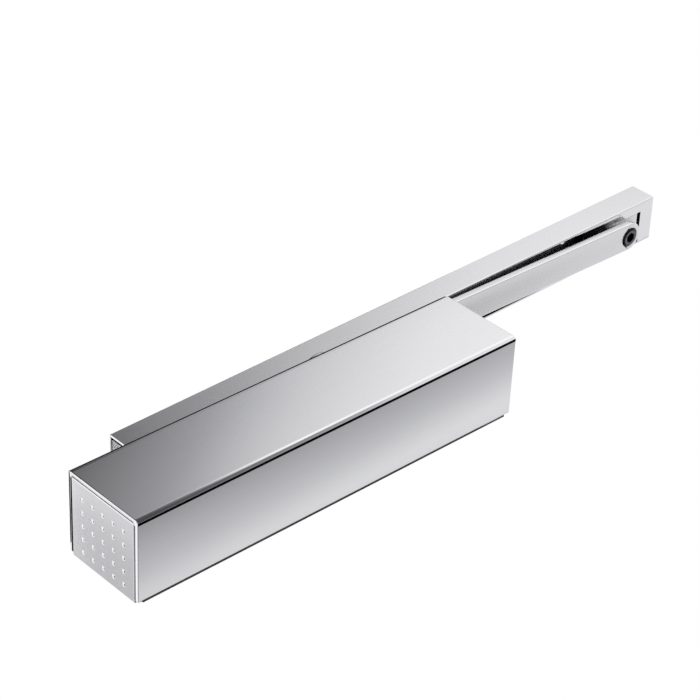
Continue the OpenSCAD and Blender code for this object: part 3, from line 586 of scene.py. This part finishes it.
def armStations():
    # half of the outline, from the hub's far side to the tip: where the outline is at an inset,
    # and the point inside that the flat faces run to
    a = arm
    insets = a["round"] * (1 - np.sin(np.radians(np.linspace(0, 90, 5))))
    stations = []
    corner = np.arcsin((a["half"] - insets) / (a["hub"] - insets))
    for share in np.linspace(0, 1, 37):  # round the hub
        angle = np.pi + share * (corner - np.pi)
        edge = np.stack([np.cos(angle), np.sin(angle)], -1) * (a["hub"] - insets)[:, None]
        stations.append((edge, "hub", np.pi + share * (corner[-1] - np.pi)))
    hubEdge = stations[-1][0]
    for angle in np.linspace(corner[-1], 0, 12)[1:]:  # the edge waits, the inner point swings
        stations.append((hubEdge, "hub", angle))
    for share in np.linspace(0, 1, 13):  # along the bar
        atTip = np.stack([np.full(len(insets), a["length"]), a["half"] - insets], -1)
        stations.append((hubEdge * (1 - share) + atTip * share, "bar", share))
    tipEdge = stations[-1][0]
    for angle in np.linspace(np.pi, np.pi / 2, 13):
        stations.append((tipEdge, "tip", angle))
    for angle in np.linspace(np.pi / 2, 0, 25)[1:]:  # round the tip
        direction = np.array([np.cos(angle), np.sin(angle)])
        stations.append(((a["half"] - insets)[:, None] * direction + (a["length"], 0), "tip", angle))
    return stations


def armProfile(edge, kind, where):
    # one closed loop at a station: boss and lower face, round lower edge, side, round upper
    # edge, upper face, then the steps of the hole
    a = arm
    rise = a["round"] * (1 - np.cos(np.radians(np.linspace(0, 90, 5))))
    lower = np.column_stack([edge, a["low"] + rise])
    upper = np.column_stack([edge[::-1], a["high"] - rise[::-1]])

    def ring(radius, z, centre=0.0):
        return (centre + radius * np.cos(where), radius * np.sin(where), z)

    if kind == "hub":
        squareR = a["square"] / max(abs(np.cos(where)), abs(np.sin(where)))
        start = [ring(squareR, a["bossLow"]), ring(a["boss"], a["bossLow"]), ring(a["boss"], a["low"])]
        end = [ring(a["headHole"], a["high"]), ring(a["headHole"], a["headFloor"]),
               ring(a["screwHole"], a["headFloor"]), ring(a["screwHole"], a["low"]),
               ring(squareR, a["low"])]
    elif kind == "bar":
        below = a["boss"] + where * (a["length"] - a["pivotHead"] - a["boss"])
        above = a["headHole"] + where * (a["length"] - a["pivotHole"] - a["headHole"])
        start = [(below, 0, a["low"])] * 3
        end = [(above, 0, a["high"])] * 5
    else:
        tip = a["length"]
        start = [ring(a["pivotHead"], a["low"], tip)] * 3
        floor = ring(a["pivotHead"], a["pivotFloor"], tip)
        end = [ring(a["pivotHole"], a["high"], tip), ring(a["pivotHole"], a["pivotFloor"], tip)]
        end += [floor] * 3
    return np.concatenate([start, lower, upper, end])


def makeArm():
    # the profile carried round the outline, one half mirrored; faces that would lie in the bar's
    # middle plane are left out, and the lower edge is burnished
    half = np.array([armProfile(*station) for station in armStations()])
    whole = np.concatenate([half, half[::-1] * (1, -1, 1)])
    faces = gridFaces(*whole.shape[:2], loopPath=True)
    flat = whole.reshape(-1, 3)
    middle = (abs(flat[faces][:, :, 1]) < 1e-6).all(1)
    burnished = np.isin(np.arange(len(faces)) % whole.shape[1], range(3, 7)).astype(int)
    points = placed(flat, spindleAt, armTurn)
    newPiece("closerArm", points, faces[~middle].tolist(), arm, burnished[~middle])


makeArm()

# Slide channel: a C-shaped extrusion, open downwards, whose lips lie a little inside its mouth,
# with two fixing holes in its web and rounded cut ends

channel = {
    "left": -409.3, "right": 30.7, "low": 46.5, "high": 65.2, "half": 15.9, "wall": 1.5,
    "mouth": 12.9, "lipLow": 48.5, "lipTop": 50, "holes": (-385.3, -37), "holeR": 2.75, "round": 0.6,
    "endRound": (0.9, 0.4), "endInside": 0.3, "lipsFrom": 2.1,
    "finish": [channelSilver, paintedShade, edgeSilver], "body": "channel", "node": "slide_channel",
    "slot": "channel_satin_silver", "edge": 0.12,
}


def channelProfile(gap, inset=0.0, inside=0.0, lips=True):
    # half of the C as points (y, z), from the middle of the top round the +Y side, the mouth, the
    # lip and the inside; the web opens by gap on each side of its middle
    c = channel
    r, h, t = c["round"], c["half"] - inset, c["wall"] - inside
    high, low = c["high"] - inset, c["low"] + inset / 2
    inner, web = c["half"] - t, c["high"] - t
    mouth = c["mouth"] if lips else inner
    return np.array([(gap, high), (h - r - level, high), *roundCorner((h - r, high - r), r, 90, 0),
                     (h, high - r - level), (h, low + r + level),
                     *roundCorner((h - r, low + r), r, 0, -90), (inner, low), (inner, c["lipLow"]),
                     (mouth, c["lipLow"]), (mouth, c["lipTop"]), (inner, c["lipTop"]), (inner, web),
                     (gap, web)])


def makeChannel():
    # both halves of the C carried along the channel; in a hole's stations the web is parted by
    # gap = sqrt(r^2 - (x - x0)^2) and a wall joins its upper and lower side
    c = channel
    fall = c["endRound"][1] * footAlong
    rounding = endRounding(c["endRound"], c["endRound"], c["endInside"], fall, 9)
    rounding = rounding[:, [0, 2, 3]]  # the channel's sides and top are rounded alike
    rows = [(c["left"] + drop, 0.0, inset, inside, False) for drop, inset, inside in rounding]
    rows += [(c["left"] + c["lipsFrom"], 0.0, 0.0, 0.0, lips) for lips in (False, True)]
    for hole in c["holes"]:
        for x, gap in roundCorner((hole, 0), c["holeR"], 180, 0, 17):
            rows.append((x, gap, 0, 0, True))
    rows += [(c["right"] - drop, 0.0, inset, inside, True) for drop, inset, inside in rounding[::-1]]
    gaps = np.array([row[1] if row[1] > 1e-9 else 0.0 for row in rows])
    half = np.array([standAt(x, channelProfile(gap, *rest)) for (x, _, *rest), gap in zip(rows, gaps)])
    count = half.shape[1]
    faces = gridFaces(len(rows), count)
    station, segment = np.divmod(np.arange(len(faces)), count)
    inHole = (gaps[station] + gaps[station + 1]) > 0
    solid = (segment < count - 1) | inHole  # the last segment is the hole's wall
    kept = faces[solid]
    points = np.concatenate([half, half * (1, -1, 1)]).reshape(-1, 3)
    across = len(rows) * count  # from a point to its mirror image
    mirrored = kept[:, ::-1] + across
    ends = [near + [across + i for i in near[-2:0:-1]] for near in endFaces(len(rows), count)]
    # the profile's segments 2 to 5 and 9 to 12 are its long edges, 14 to 18 its inside
    # its inside takes the near black finish: painted shade in the slot
    dark = np.isin(segment, range(14, 19)) & (station > 1) & (station < len(rows) - 3)
    burnished = np.isin(segment, [*range(2, 6), *range(9, 13)])
    burnished |= (station < len(rounding) - 1) | (station >= len(rows) - len(rounding))
    groups = np.where(dark, 1, 2 * burnished)[solid]
    newPiece("slideChannel", placed(points, pivotAt, channelTurn),
             [*kept.tolist(), *mirrored.tolist(), *ends], c, np.concatenate([groups, groups, [2, 2]]))


makeChannel()

# Channel end pieces: they fill the channel's inside and stand back a little at the open end; the
# right one has a tapering tongue beside the slider

channelCap = {
    "length": 12, "face": 2, "fit": 0.05, "gap": 0.6, "easing": 0.25,
    "tongue": [(3.7, 7), (-12.3, 4), (-28, 2.8), (-44.3, 1.8)], "tongueSunk": 0.04, "tongueRoot": 1,
    "finish": [channelCapMetal, paintedShade], "body": "channel", "slot": "channel_cap", "angle": 30,
}


def capOutline(gap, lips=True):  # the channel's inside as a loop of (y, z), smaller by gap
    c = channel
    wall, web = c["half"] - c["wall"] - gap, c["high"] - c["wall"] - gap
    mouth = c["mouth"] - gap if lips else wall
    right = [(wall, c["low"] + gap), (wall, c["lipLow"] - gap), (mouth, c["lipLow"] - gap),
             (mouth, c["lipTop"] + gap), (wall, c["lipTop"] + gap), (wall, web)]
    return np.array(right + [(-y, z) for y, z in reversed(right)])


def makeChannelCap(side, end, name, node, closed):
    # the outline carried along the channel, drawn in by the gap over its last few millimetres
    c = channelCap
    tight = c["fit"]
    loose = tight if closed else tight + c["gap"]
    rows = [(c["length"], tight), (c["face"], tight), (c["face"], loose), (c["easing"], loose),
            (0, loose + c["easing"])]
    points = np.array([standAt(end - side * inward, capOutline(inset, closed or i < 2))
                       for i, (inward, inset) in enumerate(rows)])
    count = points.shape[1]
    faces = gridFaces(len(rows), count).tolist() + endFaces(len(rows), count)
    groups = np.zeros(len(faces), int)
    # the open cap's step in the gap and each cap's inner end take the near black finish: painted shade
    groups[count:2 * count] = 0 if closed else 1
    groups[4 * count] = 1  # the inner end
    points = points.reshape(-1, 3)
    if closed:  # the tongue, a prism of (x, width from the channel's outside)
        half, wall = channel["half"], channel["half"] - channel["wall"]
        low, high = channel["low"] + c["tongueSunk"], channel["lipLow"] - tight
        root = end - c["length"] + c["tongueRoot"]
        outline = [(root, -wall), (root, c["tongue"][0][1] - half)]
        outline += [(x, width - half) for x, width in c["tongue"]] + [(c["tongue"][-1][0], -wall)]
        sides = len(outline)
        start = len(points)
        tongue = [(x, y, z) for z in (low, high) for x, y in outline]
        points = np.concatenate([points, tongue])
        faces += (gridFaces(2, sides) + start).tolist() + endFaces(2, sides, start)
        groups = np.concatenate([groups, np.zeros(sides + 2, int)])
    newPiece(name, placed(points, pivotAt, channelTurn), faces, {**c, "node": node}, groups)


makeChannelCap(-1, channel["left"], "channelCapLeft", "channel_cap_left", False)
makeChannelCap(1, channel["right"], "channelCapRight", "channel_cap_right", True)

# Pivot screw: a cylinder head with a hexagon socket, seen from below at the arm's tip

pivotScrew = {
    "headR": 6.5, "headLow": 37.5, "headHigh": 41.5, "socketR": 3.46, "socketDepth": 3, "cone": 0.6,
    "shankR": 4, "shankTop": 58, "steps": 72, "edgeR": 1.3, "ease": 0.15,
    "mouthWider": 0.3, "mouthDeep": 0.25, "tipEase": 0.5,
    "finish": [blackScrew, screwFace], "body": "swing_arm", "node": "pivot_screw",
    "slot": "black_screw", "angle": 30,
}


def makePivotScrew():
    # rings (radius, height) about Z from the socket's floor round the head to the shank's end;
    # in the socket a ring's radius is R cos 30 / cos(angle from the middle of a flat)
    s = pivotScrew
    low, high, top = s["headLow"], s["headHigh"], s["shankTop"]
    turn = np.linspace(0, 2 * np.pi, s["steps"], endpoint=False)
    hexagon = np.cos(np.pi / 6) / np.cos((turn + np.pi / 6) % (np.pi / 3) - np.pi / 6)
    hexagon = hexagon / hexagon.max()
    nearHexagon = 0.7 * hexagon + 0.3  # the socket's mouth, eased a little towards a circle
    socket = s["socketR"] * hexagon
    rings = [(0.0, low + s["socketDepth"] + s["cone"]), (socket, low + s["socketDepth"]),
             (socket, low + s["mouthDeep"]), ((s["socketR"] + s["mouthWider"]) * nearHexagon, low)]
    rings += [*roundCorner((s["headR"] - s["edgeR"], low + s["edgeR"]), s["edgeR"], -90, 0, 8)]
    rings += [(s["headR"], high - s["ease"]), (s["headR"] - s["ease"], high), (s["shankR"], high),
              (s["shankR"], top - s["tipEase"]), (s["shankR"] - s["tipEase"], top), (0.0, top)]
    faces = gridFaces(len(rings), s["steps"])
    groups = (np.arange(len(faces)) // s["steps"] == 3).astype(int)  # the head's flat face
    newPiece("pivotScrew", spun(rings, pivotAt, turn), faces.tolist(), s, groups)


makePivotScrew()

# Springs: round wire wound about the bore's axis, with closed ends

mainSpring = {
    "from": -102, "to": 11.2, "coil": 14.9, "wire": 2.1, "turns": 11, "closed": 1.0, "sides": 14,
    "finish": [springSteel], "body": "closer", "node": "main_spring", "slot": "spring_steel",
}
lightSpring = {
    "from": 93, "to": 111, "coil": 12, "wire": 0.7, "turns": 5, "closed": 0.75, "sides": 10,
    "finish": [springSteel], "body": None, "node": "light_spring", "slot": "spring_steel",
}


def makeSpring(name, look):
    # a circle of the wire's radius carried along a helix; over the closed turns at each end the
    # pitch falls to the slow one, a wire's thickness and 2% more
    wire, turns, sides = look["wire"], look["turns"], look["sides"]
    steps = int(turns * 40) + 1  # 40 to a turn
    turn = np.linspace(0, turns, steps)
    ease = np.clip(np.minimum(turn, turns - turn) / look["closed"] - 0.6, 0, 1)  # 0 where closed
    slow = 2.04 * wire
    run = look["to"] - look["from"] - 2 * wire
    weight = np.concatenate([[0], np.cumsum((ease[1:] + ease[:-1]) / 2 * np.diff(turn))])
    along = look["from"] + wire + slow * turn + (run - slow * turns) * weight / weight[-1]
    angle = 2 * np.pi * turn
    about = np.linspace(0, 2 * np.pi, sides, endpoint=False)
    reach = look["coil"] + wire * np.cos(about)[None, :]
    points = np.stack([along[:, None] + wire * np.sin(about)[None, :],
                       boreY + reach * np.cos(angle)[:, None], reach * np.sin(angle)[:, None]], -1)
    return newPiece(name, points, gridFaces(steps, sides).tolist() + endFaces(steps, sides), look)


# at its piston's far end, 7.7 mm on, the main spring keeps 105.5 of its 113.2 mm
coiled = makeSpring("mainSpring", mainSpring)
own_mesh(coiled)
light = makeSpring("lightSpring", lightSpring)
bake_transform(light, "damping_side_piston", "closer",  # its ends follow the piston and the plug
         start=(lightSpring["from"] * mm, 0, 0), end=(lightSpring["to"] * mm, 0, 0))
print("new surfaces made")

# Pieces whose CAD shape is right: merged copies with their sharp edges broken. Each is named after
# its node in camel case, apart from a few; a row has the body, slot, finish and edge width.

ownNames = {"housing": "castHousing", "bush_cap": "boreCap", "cam": "heartCam"}
plainPieces = {
    "mounting_plate": ("closer", "blackened_plate", blackPlate, 0.08),
    "housing": ("closer", "cast_housing", castHousing, 0.5),
    "spring_end_plug": ("closer", "turned_plug", plugMetal, 0.3),
    "damping_end_plug": ("closer", "turned_plug", plugMetal, 0.3),
    "plug_seals": ("closer", "seal_rubber", sealRubber, 0.3),
    "upper_bush": ("closer", "bearing_bronze", bushBronze, 0.2),
    "lower_bush": ("closer", "bearing_bronze", bushBronze, 0.2),
    "spindle_seal": ("closer", "seal_rubber", sealRubber, 0.2),
    "bush_cap": ("closer", "turned_plug", capMetal, 0.25),
    "lower_bore_plug": ("closer", "turned_plug", capMetal, 0.25),
    "body_screws": ("closer", "zinc_screw", zincScrew, 0.25),
    "cover_clips": ("closer", "spring_steel", clipSteel, 0.12),
    "spring_seat": ("seat", "turned_steel", pistonSteel, 0.3),
    "adjusting_screw": ("adjuster", "zinc_screw", adjusterZinc, 0.2),
    "spindle": ("swing_arm", "hardened_steel", groundSteel, 0.25),
    "cam": ("swing_arm", "hardened_steel", groundSteel, 0.2),
    "spring_piston": ("spring_side_piston", "turned_steel", pistonSteel, 0.25),
    "spring_roller": ("spring_side_roller", "hardened_steel", groundSteel, 0.2),
    "spring_roller_pin": ("spring_side_piston", "hardened_steel", groundSteel, 0.2),
    "damping_piston": ("damping_side_piston", "turned_steel", pistonSteel, 0.25),
    "damping_roller": ("damping_side_roller", "hardened_steel", groundSteel, 0.2),
    "damping_roller_pin": ("damping_side_piston", "hardened_steel", groundSteel, 0.2),
    "check_valve": ("damping_side_piston", "valve_brass", valveBrass, 0.15),
    "closing_valve": ("closing_speed", "valve_brass", valveBrass, 0.15),
    "latching_valve": ("latching_speed", "valve_brass", valveBrass, 0.15),
    "backcheck_valve": ("backcheck", "valve_brass", valveBrass, 0.15),
    "delay_valve": ("delay", "valve_brass", valveBrass, 0.15),
    "valve_seals": ("closer", "seal_rubber", sealRubber, 0.1),
    "hub_screw": ("swing_arm", "zinc_screw", hubZinc, 0.25),
    "pivot_bush": ("swing_arm", "bearing_bronze", pivotBronze, 0.2),
    "slider_block": ("slider", "slider_plastic", sliderPlastic, 0.4),
}

for node, (body, slotName, finish, edge) in plainPieces.items():
    camel = node.title().replace("_", "")
    name = ownNames.get(node, camel[0].lower() + camel[1:])
    look = {"finish": [finish], "body": body, "node": node, "slot": slotName, "edge": edge}
    copiedPiece(name, look)
print("copied pieces made:", len(plainPieces))

# Stage: a pale floor that keeps the object's shadow, reflection cards, lamps and a white world

stage = {
    "floorZ": -0.1, "floorHalf": 4.0, "floorColour": "#f4f4f4", "fill": 0.75,
    "cardGlow": 2.0, "cardBlue": 0.04,
    "lamps": {  # place, aim, width, watts
        "softTop": ((-0.9, -0.5, 1.3), (0, 0, 0), 1.4, 16),
        "softFront": ((-0.6, -1.4, -0.6), (0.1, 0, 0), 1.2, 10),
    },
}


def rectangle(axis, at, first, second):
    # corners of a card across an axis, over the two ranges of the other axes in their order
    flat = [(first[0], second[0]), (first[1], second[0]), (first[1], second[1]), (first[0], second[1])]
    return [tuple(np.insert(corner, axis, at).tolist()) for corner in flat]


def stageSheet(name, corners, material):
    mesh = bpy.data.meshes.new(name)
    mesh.from_pydata(corners, [], [tuple(range(len(corners)))])
    mesh.materials.append(material)
    sheet = addObject(name, mesh)
    return sheet


def bareTree(owner):  # the node tree of a material or a world, emptied
    owner.use_nodes = True
    owner.node_tree.nodes.clear()
    return owner.node_tree


def makeFloor():
    # only the camera sees it, and only from above; it throws no light and hides none
    material = bpy.data.materials.new("paleFloor")
    tree = bareTree(material)
    rays = addNode(tree, "ShaderNodeLightPath")
    side = addNode(tree, "ShaderNodeNewGeometry")
    above = spread(tree, side.outputs["Backfacing"], 1.0, 0.0, 0.0, 1.0)
    links = {0: rays.outputs["Is Camera Ray"], 1: above}
    seen = addNode(tree, "ShaderNodeMath", links, operation="MULTIPLY").outputs[0]
    pale = addNode(tree, "ShaderNodeBsdfDiffuse", {"Color": hexColour(stage["floorColour"])})
    clear = addNode(tree, "ShaderNodeBsdfTransparent")
    links = {0: seen, 1: clear.outputs[0], 2: pale.outputs[0]}
    both = addNode(tree, "ShaderNodeMixShader", links)
    addNode(tree, "ShaderNodeOutputMaterial", {"Surface": both.outputs[0]})
    reach = (-stage["floorHalf"], stage["floorHalf"])
    stageSheet("paleFloor", rectangle(2, stage["floorZ"], reach, reach), material)


def makeCard(name, corners, along, stops):
    # a card that only reflections see; its brightness follows the stops (metres, brightness) over
    # the distance along one direction, and its darker parts are a little bluer
    material = bpy.data.materials.new(name)
    tree = bareTree(material)
    place = addNode(tree, "ShaderNodeTexCoord").outputs["Object"]
    reach = addNode(tree, "ShaderNodeVectorMath", {0: place, 1: along}, operation="DOT_PRODUCT")
    first, last = stops[0][0], stops[-1][0]
    share = spread(tree, reach.outputs["Value"], 0.0, 1.0, first, last)
    ramp = addNode(tree, "ShaderNodeValToRGB", {0: share})
    while len(ramp.color_ramp.elements) < len(stops):
        ramp.color_ramp.elements.new(0.5)
    strength = stage["cardGlow"]
    for element, (at, tone) in zip(ramp.color_ramp.elements, stops):
        element.position = (at - first) / (last - first)
        grey = tone / strength
        element.color = (grey, grey, grey * (1 + stage["cardBlue"] * max(0.0, 1.0 - tone)), 1.0)
    glow = addNode(tree, "ShaderNodeEmission", {"Color": ramp.outputs[0], "Strength": strength})
    addNode(tree, "ShaderNodeOutputMaterial", {"Surface": glow.outputs[0]})
    card = stageSheet(name, corners, material)
    for ray in ("camera", "diffuse", "transmission", "volume_scatter", "shadow"):
        setattr(card, "visible_" + ray, False)


def makeLamp(name, place, aim, size, watts):
    data = bpy.data.lights.new(name, "AREA")
    data.energy = watts
    data.shape = "DISK"
    data.size = size
    lamp = addObject(name, data)
    lamp.location = place
    lamp.rotation_mode = "QUATERNION"
    lamp.rotation_quaternion = (Vector(aim) - Vector(place)).to_track_quat("-Z", "Y")
    lamp.visible_glossy = False


def makeWorld():
    # white where the camera looks past the object or a reflection does, and a plain fill elsewhere
    world = bpy.data.worlds.new("studio")
    bpy.context.scene.world = world
    tree = bareTree(world)
    rays = addNode(tree, "ShaderNodeLightPath")
    seen = rays.outputs["Is Camera Ray"]
    for kind in ("Is Glossy Ray", "Is Transmission Ray"):
        links = {0: seen, 1: rays.outputs[kind]}
        seen = addNode(tree, "ShaderNodeMath", links, operation="MAXIMUM").outputs[0]
    strength = spread(tree, seen, stage["fill"], 1.0, 0.0, 1.0)
    light = addNode(tree, "ShaderNodeBackground", {"Color": (1, 1, 1, 1), "Strength": strength})
    addNode(tree, "ShaderNodeOutputWorld", {"Surface": light.outputs[0]})


# What the object shows the camera: its front faces reflect the upper front cards, their edges the
# lower ones, the underside the cards below, the left end the left ones, and the edges that turn
# away the dark ones above and behind. A card has the axis it faces, its place there, its ranges on
# the other two axes, the stops' direction and the stops.
frontRange = (-0.22, 1.6)
cards = {
    "frontCover": (1, -0.3, frontRange, (0.17, 0.315), (1, 0, -1.6), [
        (-0.52, 0.03), (-0.46, 0.06), (-0.41, 0.21), (-0.37, 0.25), (-0.33, 0.33), (-0.28, 0.41),
        (-0.24, 0.59), (-0.18, 0.76), (-0.1, 0.9), (-0.03, 1.0), (0.1, 1.06)]),
    "frontChannel": (1, -0.3, frontRange, (0.315, 0.5), (1, 0, 0), [
        (0.05, 0.03), (0.1, 0.08), (0.14, 0.25), (0.2, 0.34), (0.3, 0.54), (0.4, 0.72), (0.5, 0.9),
        (0.6, 0.97), (0.68, 0.9)]),
    "frontTop": (1, -0.3, frontRange, (0.5, 1.2), (1, 0, 0), [(0.2, 0.02), (0.45, 0.6)]),
    "frontMiddle": (1, -0.3, frontRange, (0.03, 0.17), (1, 0, 0), [
        (0.0, 0.1), (0.05, 0.25), (0.1, 0.9), (0.14, 1.12), (0.5, 1.18)]),
    "frontLower": (1, -0.3, frontRange, (-0.8, 0.03), (1, 0, 0), [
        (0.0, 0.08), (0.06, 0.14), (0.14, 0.32), (0.19, 0.45), (0.24, 0.85), (0.5, 1.1)]),
    "frontLeft": (1, -0.3, (-1.2, -0.22), (-0.8, 1.2), (1, 0, 0), [(0, 1.15), (1, 1.15)]),
    "underNear": (2, -0.06, (-0.6, 0.6), (-0.08, 0.035), (0.055, 1, 0), [
        (-0.04, 0.33), (-0.0286, 0.38), (-0.018, 0.48), (-0.0066, 0.56), (0.004, 0.64),
        (0.015, 0.77), (0.026, 0.89)]),
    "underFar": (2, -0.3, (-0.3, 1.6), (-0.6, 1.2), (1, 0, 0), [
        (0.3, 0.4), (0.48, 0.45), (0.56, 0.54), (0.62, 0.68), (0.66, 0.84), (0.8, 0.88)]),
    "leftPlate": (0, -0.45, (0.27, 0.48), (0.32, 0.46), (0, 1, 0), [
        (0.343, 0.82), (0.352, 0.68), (0.37, 0.62), (0.397, 0.6)]),
    "leftBright": (0, -0.46, (-0.6, 0.7), (0.03, 0.9), (0, 1, 0), [(0, 1.15), (1, 1.15)]),
    "leftLow": (0, -0.46, (-0.6, 0.7), (-0.8, 0.03), (0, 1, 0), [(0, 0.02), (1, 0.02)]),
    "overDark": (2, 0.4, (-0.24, 0.45), (-0.16, 0.36), (1, 0, 0), [(0, 0.0), (1, 0.0)]),
    "behindDark": (1, 0.3, (0.02, 0.355), (-0.12, 0.22), (1, 0, 0), [(0, 0.0), (1, 0.0)]),
}

makeFloor()
makeWorld()
for name, (across, at, first, second, along, stops) in cards.items():
    makeCard(name, rectangle(across, at, first, second), along, stops)
for name, lamp in stage["lamps"].items():
    makeLamp(name, *lamp)
print("stage made")
